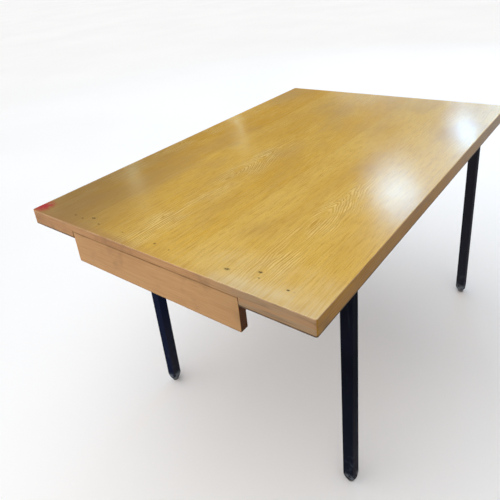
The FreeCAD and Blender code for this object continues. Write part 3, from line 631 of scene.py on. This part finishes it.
# The side strips are painted darker and yellower than the front and rear ones, partly their own colour and
# partly painted shade of faces turned from the light; their grey towards the rear is a painted reflection of
# the pale room.
shaded_side_strip = solid_wood("edge_wood_along_shaded", "y", seen(160, 116, 38), seen(124, 82, 24), (0.28, 0.60),
                        worn=0.35, figure=0.5, grey_and_sheen=(1, -0.15, 0.60, 0.95, seen(148, 131, 110)),
                        shade_lines=STRIP_SHADE_LINES, pale_edge=STRIP_RUB)
dress(shaded_side_strip, "left_edge_strip", "right_edge_strip")

# %% [markdown]
# The drawer front is a plain board of steamed beech, lighter and pinker than the strip it sits
# under, with almost no figure. Inside, the drawer is bare wood, because nobody varnishes it.

# %% The drawer
front_low, front_high = (corner.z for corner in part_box("drawer_front"))
# Its cut ends are darkened fully, partly as end grain and partly as painted shade, and painted shade lines
# run along its lower and upper edges, under the strip.
front_wood = solid_wood("drawer_front_wood", "x", seen(198, 154, 106), seen(172, 126, 82), (-0.40, 0.50),
                        ring_width=0.006, gloss=0.42, ends=1.0, worn=0.22, figure=0.15, shine=0.05,
                        grey_and_sheen=(0, 0.08, 0.26, 0.30, seen(150, 122, 88)),
                        shade_lines=((front_low, 0.004, 0.4), (front_high, 0.003, 0.45)))
dress(front_wood, "drawer_front")
BARE_LIGHT = seen(214, 184, 140)
BARE_DARK = seen(184, 150, 104)
inner_wood = solid_wood("drawer_side_wood", "y", BARE_LIGHT, BARE_DARK, (0.10, 0.50), gloss=0.6)
dress(inner_wood, "drawer_left_side", "drawer_right_side", "left_cleat", "right_cleat", "drawer_dowels")
back_wood = solid_wood("drawer_back_wood", "x", BARE_LIGHT, BARE_DARK, (-0.30, 0.50), gloss=0.6)
dress(back_wood, "drawer_back")

# %% [markdown]
# The drawer's bottom is hardboard: pressed wood fibre, smooth and dark brown on the side that
# shows, with no grain at all. Its speckle is the same in every direction.

# %% Hardboard
FIBRE_SPECKLE = 900.0
PRESS_CLOUD = 18.0
HARDBOARD_RELIEF = 0.0001


def hardboard_finish():
    material, tree, place, _ = start_finish("hardboard")
    speckle = noise(tree, vector(tree, *place), FIBRE_SPECKLE, 3.0)
    cloud = noise(tree, vector(tree, *place), PRESS_CLOUD, 3.0)
    colour = mix(tree, fade(tree, speckle, 0.3, 0.7), seen(118, 82, 52), seen(152, 112, 76))
    colour = mix(tree, fade(tree, cloud, 0.4, 0.7, 0.0, 0.4), colour, seen(104, 70, 42))
    end_finish(tree, colour, fade(tree, speckle, 0.3, 0.7, 0.5, 0.65), speckle, HARDBOARD_RELIEF)
    return material


dress(hardboard_finish(), "drawer_bottom")

# %% [markdown]
# Under the top, nothing was meant to be seen. The core is glued strips, the backing is a cheap
# plain veneer, and the bearers, runners and the stop strip are bare softwood straight off the
# planer, with wide rings.

# %% The wood under the top
SOFT_LIGHT = seen(222, 190, 138)
SOFT_DARK = seen(190, 146, 92)
backing = solid_wood("backing_wood", "y", seen(196, 160, 112), seen(166, 126, 80), (0.05, 0.55),
                     gloss=0.62, ends=0.2)
dress(backing, "backing_veneer", "core_board")
softwood_along = solid_wood("softwood_along", "y", SOFT_LIGHT, SOFT_DARK, (0.20, 0.66),
                            ring_width=0.005, gloss=0.66)
dress(softwood_along, "left_bearer", "right_bearer", "left_runner", "right_runner")
softwood_across = solid_wood("softwood_across", "x", SOFT_LIGHT, SOFT_DARK, (0.10, 0.66),
                             ring_width=0.005, gloss=0.66)
dress(softwood_across, "front_bearer", "middle_bearer", "rear_bearer", "stop_strip")

# %% [markdown]
# The frame is steel tube under blue-black enamel, scuffed and chipped to grey at the feet. Over the enamel
# lies painted light: the legs are painted bluer and lighter low down, with painted shade high up under the
# top; the left legs are painted navy and the rear legs greyer, as lit faces; and the faces that point left
# and right are painted lighter low down. The corner radius of the tube catches a thin line of light by
# itself.

# %% Enamel
RUB_TOP = 0.17
SCUFF_TOP = 0.042
CHIP_TOP = 0.030
SCRATCH_FINENESS = (260.0, 260.0, 12.0)
ENAMEL_RELIEF = 0.00006

# Each zone of painted light: the axis it changes along, from where to where, its share at either, and its
# colour.
ENAMEL_LIGHT_ZONES = (
    # Painted light low on the legs, with painted shade high up under the top.
    (2, 0.12, 0.45, 0.6, 0.0, (17, 22, 35)),
    # Painted light: the legs on the left are painted navy, as their lit faces look.
    (0, -0.35, 0.0, 0.8, 0.0, (16, 24, 50)),
    # Painted light: the rear legs are painted greyer, as if lit by light off the floor.
    (1, 0.10, 0.55, 0.0, 0.5, (50, 50, 56)),
)


def foot_marks(tree, place, z, speck):
    """Three kinds of damage low on the legs: rubbed, scuffed and chipped, each as a share."""
    rubbed = calc(tree, "MULTIPLY", fade(tree, z, 0.01, RUB_TOP, 1.0, 0.0),
                  fade(tree, noise(tree, place, 60.0, 4.0), 0.5, 0.7))
    scuffed = calc(tree, "MULTIPLY", fade(tree, z, SCUFF_TOP / 2, SCUFF_TOP, 1.0, 0.0),
                   fade(tree, noise(tree, place, 70.0, 3.0), 0.42, 0.56))
    chipped = calc(tree, "MULTIPLY", fade(tree, z, 0.012, CHIP_TOP, 1.0, 0.0), fade(tree, speck, 0.42, 0.55))
    return rubbed, scuffed, chipped


def enamel_finish():
    material, tree, axes, (facing, _, _) = start_finish("blue_black_enamel")
    z = axes[2]
    place = vector(tree, *axes)
    cloud = noise(tree, place, 9.0, 4.0)
    scratch = noise(tree, stretched(tree, axes, SCRATCH_FINENESS), 1.0, 2.0)
    speck = noise(tree, place, 320.0, 2.0)
    rubbed, scuffed, chipped = foot_marks(tree, place, z, speck)

    colour = mix(tree, fade(tree, cloud, 0.3, 0.7), seen(6, 8, 18), seen(12, 14, 27))
    # Painted light and shade over the enamel, zone by zone.
    for axis, *shares_and_tint in ENAMEL_LIGHT_ZONES:
        colour = coat(tree, colour, axes[axis], *shares_and_tint)
    # Painted light: the faces that point left and right are lighter low down and darker up under the top.
    painted_side_light = calc(tree, "MULTIPLY", calc(tree, "ABSOLUTE", facing), fade(tree, z, 0.05, 0.36, 0.65, 0.0))
    colour = mix(tree, painted_side_light, colour, seen(46, 45, 50))
    colour = coat(tree, colour, scratch, 0.62, 0.8, 0.0, 0.25, (60, 66, 78))
    colour = mix(tree, calc(tree, "MULTIPLY", rubbed, 0.5), colour, seen(70, 77, 88))
    colour = mix(tree, calc(tree, "MULTIPLY", scuffed, 0.6), colour, seen(128, 134, 140))
    colour = mix(tree, calc(tree, "MULTIPLY", chipped, 0.6), colour, seen(96, 98, 102))
    gloss = fade(tree, cloud, 0.3, 0.7, 0.32, 0.44)
    roughness = calc(tree, "ADD", gloss, calc(tree, "MULTIPLY", rubbed, 0.2))
    end_finish(tree, colour, roughness, calc(tree, "SUBTRACT", speck, chipped), ENAMEL_RELIEF,
               Specular_IOR_Level=0.0, Coat_Weight=0.06, Coat_Roughness=0.3)
    return material


enamel = enamel_finish()
corners = ("front_left", "front_right", "rear_left", "rear_right")
sides = ("left", "right", "front", "rear")
dress(enamel, *(f"{corner}_leg" for corner in corners), *(f"{side}_rail" for side in sides), "fixing_tabs")

# %% [markdown]
# Each leg stands on a turned glide of grey plastic, scuffed by the floor it is dragged over. The
# screws are bright steel with a thin haze of age.

# %% Glides and screws
GLIDE_SCUFF = 420.0
GLIDE_RELIEF = 0.0002
STEEL_HAZE = 500.0
STEEL_RELIEF = 0.00005


def glide_finish():
    material, tree, (x, y, z), _ = start_finish("glide_plastic")
    scuff = noise(tree, vector(tree, x, y, z), GLIDE_SCUFF, 4.0)
    colour = mix(tree, fade(tree, scuff, 0.35, 0.65), seen(84, 81, 78), seen(124, 120, 114))
    colour = mix(tree, fade(tree, z, 0.0, 0.003, 0.6, 0.0), colour, seen(40, 38, 36))
    end_finish(tree, colour, fade(tree, scuff, 0.3, 0.7, 0.5, 0.7), scuff, GLIDE_RELIEF)
    return material


def steel_finish():
    material, tree, place, _ = start_finish("bright_screw_steel")
    haze = noise(tree, vector(tree, *place), STEEL_HAZE, 4.0)
    colour = mix(tree, fade(tree, haze, 0.35, 0.7), seen(168, 165, 158), seen(120, 112, 98))
    end_finish(tree, colour, fade(tree, haze, 0.3, 0.7, 0.28, 0.5), haze, STEEL_RELIEF, Metallic=1.0)
    return material


dress(glide_finish(), *(f"{corner}_glide" for corner in corners))
dress(steel_finish(), "frame_screws", "runner_screws", "stop_screws", "cleat_screws", "back_screws")

# %% [markdown]
# Where tubes meet they are welded, and under the enamel each weld is a bead of overlapping
# ripples. A bead is a thin rod whose radius swells and shrinks along its length, drawn in at both
# ends. It is made as rings of points joined by faces, one bead in each inner corner of the frame.

# %% Weld beads
BEAD_RADIUS = 0.0030
RIPPLE_PITCH = 0.0022
RIPPLE_SHARE = 0.10
BEAD_SIDES = 12
STEPS_PER_RIPPLE = 4
END_SQUARENESS = 8


def bead_rings(start, end):
    """Centre and radius of each ring of points from one end of a bead to the other."""
    length = (end - start).length
    count = max(STEPS_PER_RIPPLE, round(length / RIPPLE_PITCH) * STEPS_PER_RIPPLE)
    for step in range(count + 1):
        share = step / count
        ripple = 1.0 + RIPPLE_SHARE * math.cos(math.tau * step / STEPS_PER_RIPPLE)
        closing = math.sqrt(max(0.0, 1.0 - (2.0 * share - 1.0) ** END_SQUARENESS))
        yield start.lerp(end, share), BEAD_RADIUS * ripple * closing


def add_bead(mesh, start, end):
    """One bead as rings of points joined by faces. A ring with no radius is one point."""
    along = (end - start).normalized()
    across = along.orthogonal().normalized()
    other = along.cross(across)
    previous = None
    for centre, radius in bead_rings(start, end):
        if radius == 0.0:
            ring = [mesh.verts.new(centre)]
        else:
            turns = [math.tau * side / BEAD_SIDES for side in range(BEAD_SIDES)]
            outward = [across * math.cos(turn) + other * math.sin(turn) for turn in turns]
            ring = [mesh.verts.new(centre + radius * way) for way in outward]
        if previous:
            for side in range(BEAD_SIDES):
                after = (side + 1) % BEAD_SIDES
                face = [ring[side % len(ring)], ring[after % len(ring)],
                        previous[after % len(previous)], previous[side % len(previous)]]
                mesh.faces.new(list(dict.fromkeys(face)))
        previous = ring


def welds_at(corner):
    """The beads where a leg meets its two rails."""
    leg_low, leg_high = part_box(f"{corner}_leg")
    centre = (leg_low + leg_high) / 2
    inward_x = -math.copysign(1.0, centre.x)
    inward_y = 1.0 if corner.startswith("front") else -1.0
    rail_low, rail_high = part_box("left_rail")
    half = (leg_high.x - leg_low.x) / 2
    face_x = centre.x + inward_x * half
    face_y = centre.y + inward_y * half
    reach = half - BEAD_RADIUS
    mesh = bmesh.new()
    low = rail_low.z
    add_bead(mesh, Vector((face_x, centre.y - reach, low)), Vector((face_x, centre.y + reach, low)))
    add_bead(mesh, Vector((centre.x - reach, face_y, low)), Vector((centre.x + reach, face_y, low)))
    add_bead(mesh, Vector((face_x, face_y, low)), Vector((face_x, face_y, rail_high.z - BEAD_RADIUS)))
    bmesh.ops.recalc_face_normals(mesh, faces=mesh.faces)
    data = bpy.data.meshes.new(f"{corner}_welds")
    mesh.to_mesh(data)
    mesh.free()
    data.polygons.foreach_set("use_smooth", [True] * len(data.polygons))
    data.materials.append(enamel)
    welds = bpy.data.objects.new(f"{corner}_welds", data)
    bpy.context.collection.objects.link(welds)
    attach(welds, "table")
    return len(data.polygons)


print("weld faces:", [welds_at(corner) for corner in corners])

# %% [markdown]
# The floor is one wide pale sheet. It is far larger than the table, so that the camera, which
# looks down, sees nothing else. A trace of dust-like variation keeps it from looking like paper.
# Seen from below it is clear, so that the frame and the runners can be looked at too.

# %% The floor
FLOOR_HALF = 60.0
FLOOR_CLOUD = 0.8


def floor_finish():
    material, tree, place, _ = start_finish("pale_floor")
    cloud = noise(tree, vector(tree, *place), FLOOR_CLOUD, 2.0)
    colour = mix(tree, fade(tree, cloud, 0.3, 0.7), seen(251, 251, 251), seen(254, 254, 254))
    end_finish(tree, colour, 0.9, Specular_IOR_Level=0.0)
    side = tree.nodes.new("ShaderNodeNewGeometry")
    clear = tree.nodes.new("ShaderNodeBsdfTransparent")
    choice = tree.nodes.new("ShaderNodeMixShader")
    tree.links.new(side.outputs["Backfacing"], choice.inputs["Fac"])
    tree.links.new(tree.nodes["Principled BSDF"].outputs["BSDF"], choice.inputs[1])
    tree.links.new(clear.outputs["BSDF"], choice.inputs[2])
    tree.links.new(choice.outputs["Shader"], tree.nodes["Material Output"].inputs["Surface"])
    return material


floor_mesh = bpy.data.meshes.new("floor")
floor_mesh.from_pydata(
    [(-FLOOR_HALF, -FLOOR_HALF, 0.0), (FLOOR_HALF, -FLOOR_HALF, 0.0),
     (FLOOR_HALF, FLOOR_HALF, 0.0), (-FLOOR_HALF, FLOOR_HALF, 0.0)],
    [], [(0, 1, 2, 3)])
floor_mesh.materials.append(floor_finish())
floor = bpy.data.objects.new("floor", floor_mesh)
bpy.context.collection.objects.link(floor)
floor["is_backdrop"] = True
print("floor:", 2 * FLOOR_HALF, "m square")

# %% [markdown]
# The room round the table is pale near the floor and grey above. A varnished top seen at a low
# angle mirrors whatever stands behind it, so a room that was white all the way up would wash the
# honey colour out.

# %% The room
PALE = seen(252, 252, 252)
ROOM_GREY = seen(74, 75, 78)
PALE_UP_TO = 0.10
GREY_FROM = 0.25

world = bpy.data.worlds.new("room")
bpy.context.scene.world = world
world.use_nodes = True
room = world.node_tree
direction = room.nodes.new("ShaderNodeTexCoord")
upward = room.nodes.new("ShaderNodeSeparateXYZ")
room.links.new(direction.outputs["Generated"], upward.inputs[0])
shade = mix(room, fade(room, upward.outputs["Z"], PALE_UP_TO, GREY_FROM), PALE, ROOM_GREY)
feed(room, room.nodes["Background"].inputs["Color"], shade)
print("room is pale up to", round(math.degrees(math.asin(PALE_UP_TO))), "degrees above the floor")

# %% [markdown]
# The camera stands at the drawer end, to the right, a little above eye height for someone sitting.
# Its place, turn and lens were worked out from where the corners of the top, the feet and the
# drawer lie in the photograph. It was held at a slight tilt, which the roll keeps.

# %% The camera
PICTURE_SIZE = 500.0
EYE = Vector((0.7270, -1.1232, 1.2562))
AIM = Vector((-0.4539, 0.3009, 0.4000))
ROLL = math.radians(5.924)
FOCAL_PIXELS = 503.2
PICTURE_CENTRE = (248.9, 188.0)
SENSOR = 36.0

forward = (AIM - EYE).normalized()
right = forward.cross(Vector((0.0, 0.0, 1.0))).normalized()
down = forward.cross(right)
rolled_right = right * math.cos(ROLL) + down * math.sin(ROLL)
rolled_down = down * math.cos(ROLL) - right * math.sin(ROLL)
lens = bpy.data.cameras.new("camera")
lens.sensor_width = SENSOR
lens.lens = FOCAL_PIXELS / PICTURE_SIZE * SENSOR
lens.shift_x = (PICTURE_SIZE / 2 - PICTURE_CENTRE[0]) / PICTURE_SIZE
lens.shift_y = (PICTURE_CENTRE[1] - PICTURE_SIZE / 2) / PICTURE_SIZE
camera = bpy.data.objects.new("camera", lens)
turn = Matrix((rolled_right, -rolled_down, -forward)).transposed()
camera.matrix_world = Matrix.Translation(EYE) @ turn.to_4x4()
bpy.context.collection.objects.link(camera)
bpy.context.scene.camera = camera
bpy.context.scene.view_settings.view_transform = "Standard"
print("lens:", round(lens.lens, 1), "mm")

# %% [markdown]
# One very wide sun lamp stands for the bright sky of a studio tent. It lights the whole floor
# evenly and makes soft shadows. The varnish also mirrors a few small ceiling lights far behind the
# table, as soft white gleams, and a window behind it on the right, as a pale haze over that half.
# They are as blue as daylight and the two on the left greenish like a fluorescent tube, which is
# why the honey colour turns white under them and not yellow. Where each one hangs follows from
# its gleam: a ray from the camera, turned upward at the top as by a mirror, meets the light there.

# %% Lamps
SKY_STRENGTH = 2.92
SKY_COLOUR = (1.0, 0.992, 0.985)
SKY_WIDTH = 100.0
SKY_FROM = (-0.15, -0.35, 1.0)
LIGHT_DISTANCE = 5.0
DAYLIGHT = (0.38, 0.67, 1.0)
TUBE_LIGHT = (0.75, 1.0, 0.85)
GLEAMS = {
    "right_rear": ((0.352, 0.325), 0.17, 0.10, 2.4),
    "right_middle": ((0.344, -0.150), 0.50, 0.46, 7.4),
    "right_window": ((0.555, -0.320), 2.14, 3.45, 13.6),
    "right_glow": ((0.480, 0.010), 1.30, 1.40, 5.8),
    "rear_edge": ((0.030, 0.768), 2.20, 0.17, 3.0),
    "right_corner": ((0.390, 0.560), 0.34, 0.16, 1.3),
    "left_middle": ((-0.316, 0.111), 0.05, 0.12, 0.26),
    "left_front": ((-0.348, -0.325), 0.10, 0.20, 0.34),
}

sky = bpy.data.lights.new("sky_lamp", "SUN")
sky.energy = SKY_STRENGTH
sky.color = SKY_COLOUR
sky.angle = math.radians(SKY_WIDTH)
sky_lamp = bpy.data.objects.new("sky_lamp", sky)
sky_lamp.rotation_euler = Vector(SKY_FROM).to_track_quat("Z", "Y").to_euler()
bpy.context.collection.objects.link(sky_lamp)


def gleam_lamp(name, place, width, height, power):
    """A small lamp hung where the top, seen from the camera, mirrors it at the place."""
    spot_on_top = Vector((*place, cad_high.z))
    mirrored = (spot_on_top - EYE).normalized()
    mirrored.z = -mirrored.z
    data = bpy.data.lights.new(name, "AREA")
    data.shape = "ELLIPSE"
    data.color = TUBE_LIGHT if name.startswith("left") else DAYLIGHT
    data.size = width
    data.size_y = height
    data.energy = power
    made = bpy.data.objects.new(name, data)
    made.location = spot_on_top + LIGHT_DISTANCE * mirrored
    made.rotation_euler = mirrored.to_track_quat("Z", "Y").to_euler()
    bpy.context.collection.objects.link(made)


for name, gleam in GLEAMS.items():
    gleam_lamp(name, *gleam)

# %% [markdown]
# Last, the finished table is measured against the one that was loaded. The two boxes have to
# agree, since the finishes add no size and the welds lie inside the frame.

# %% Compare sizes and finish
new_low, new_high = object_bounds()
pairs = zip((*new_low, *new_high), (*cad_low, *cad_high))
print("grown by, in mm:", [round(1000 * (new - old), 2) for new, old in pairs])
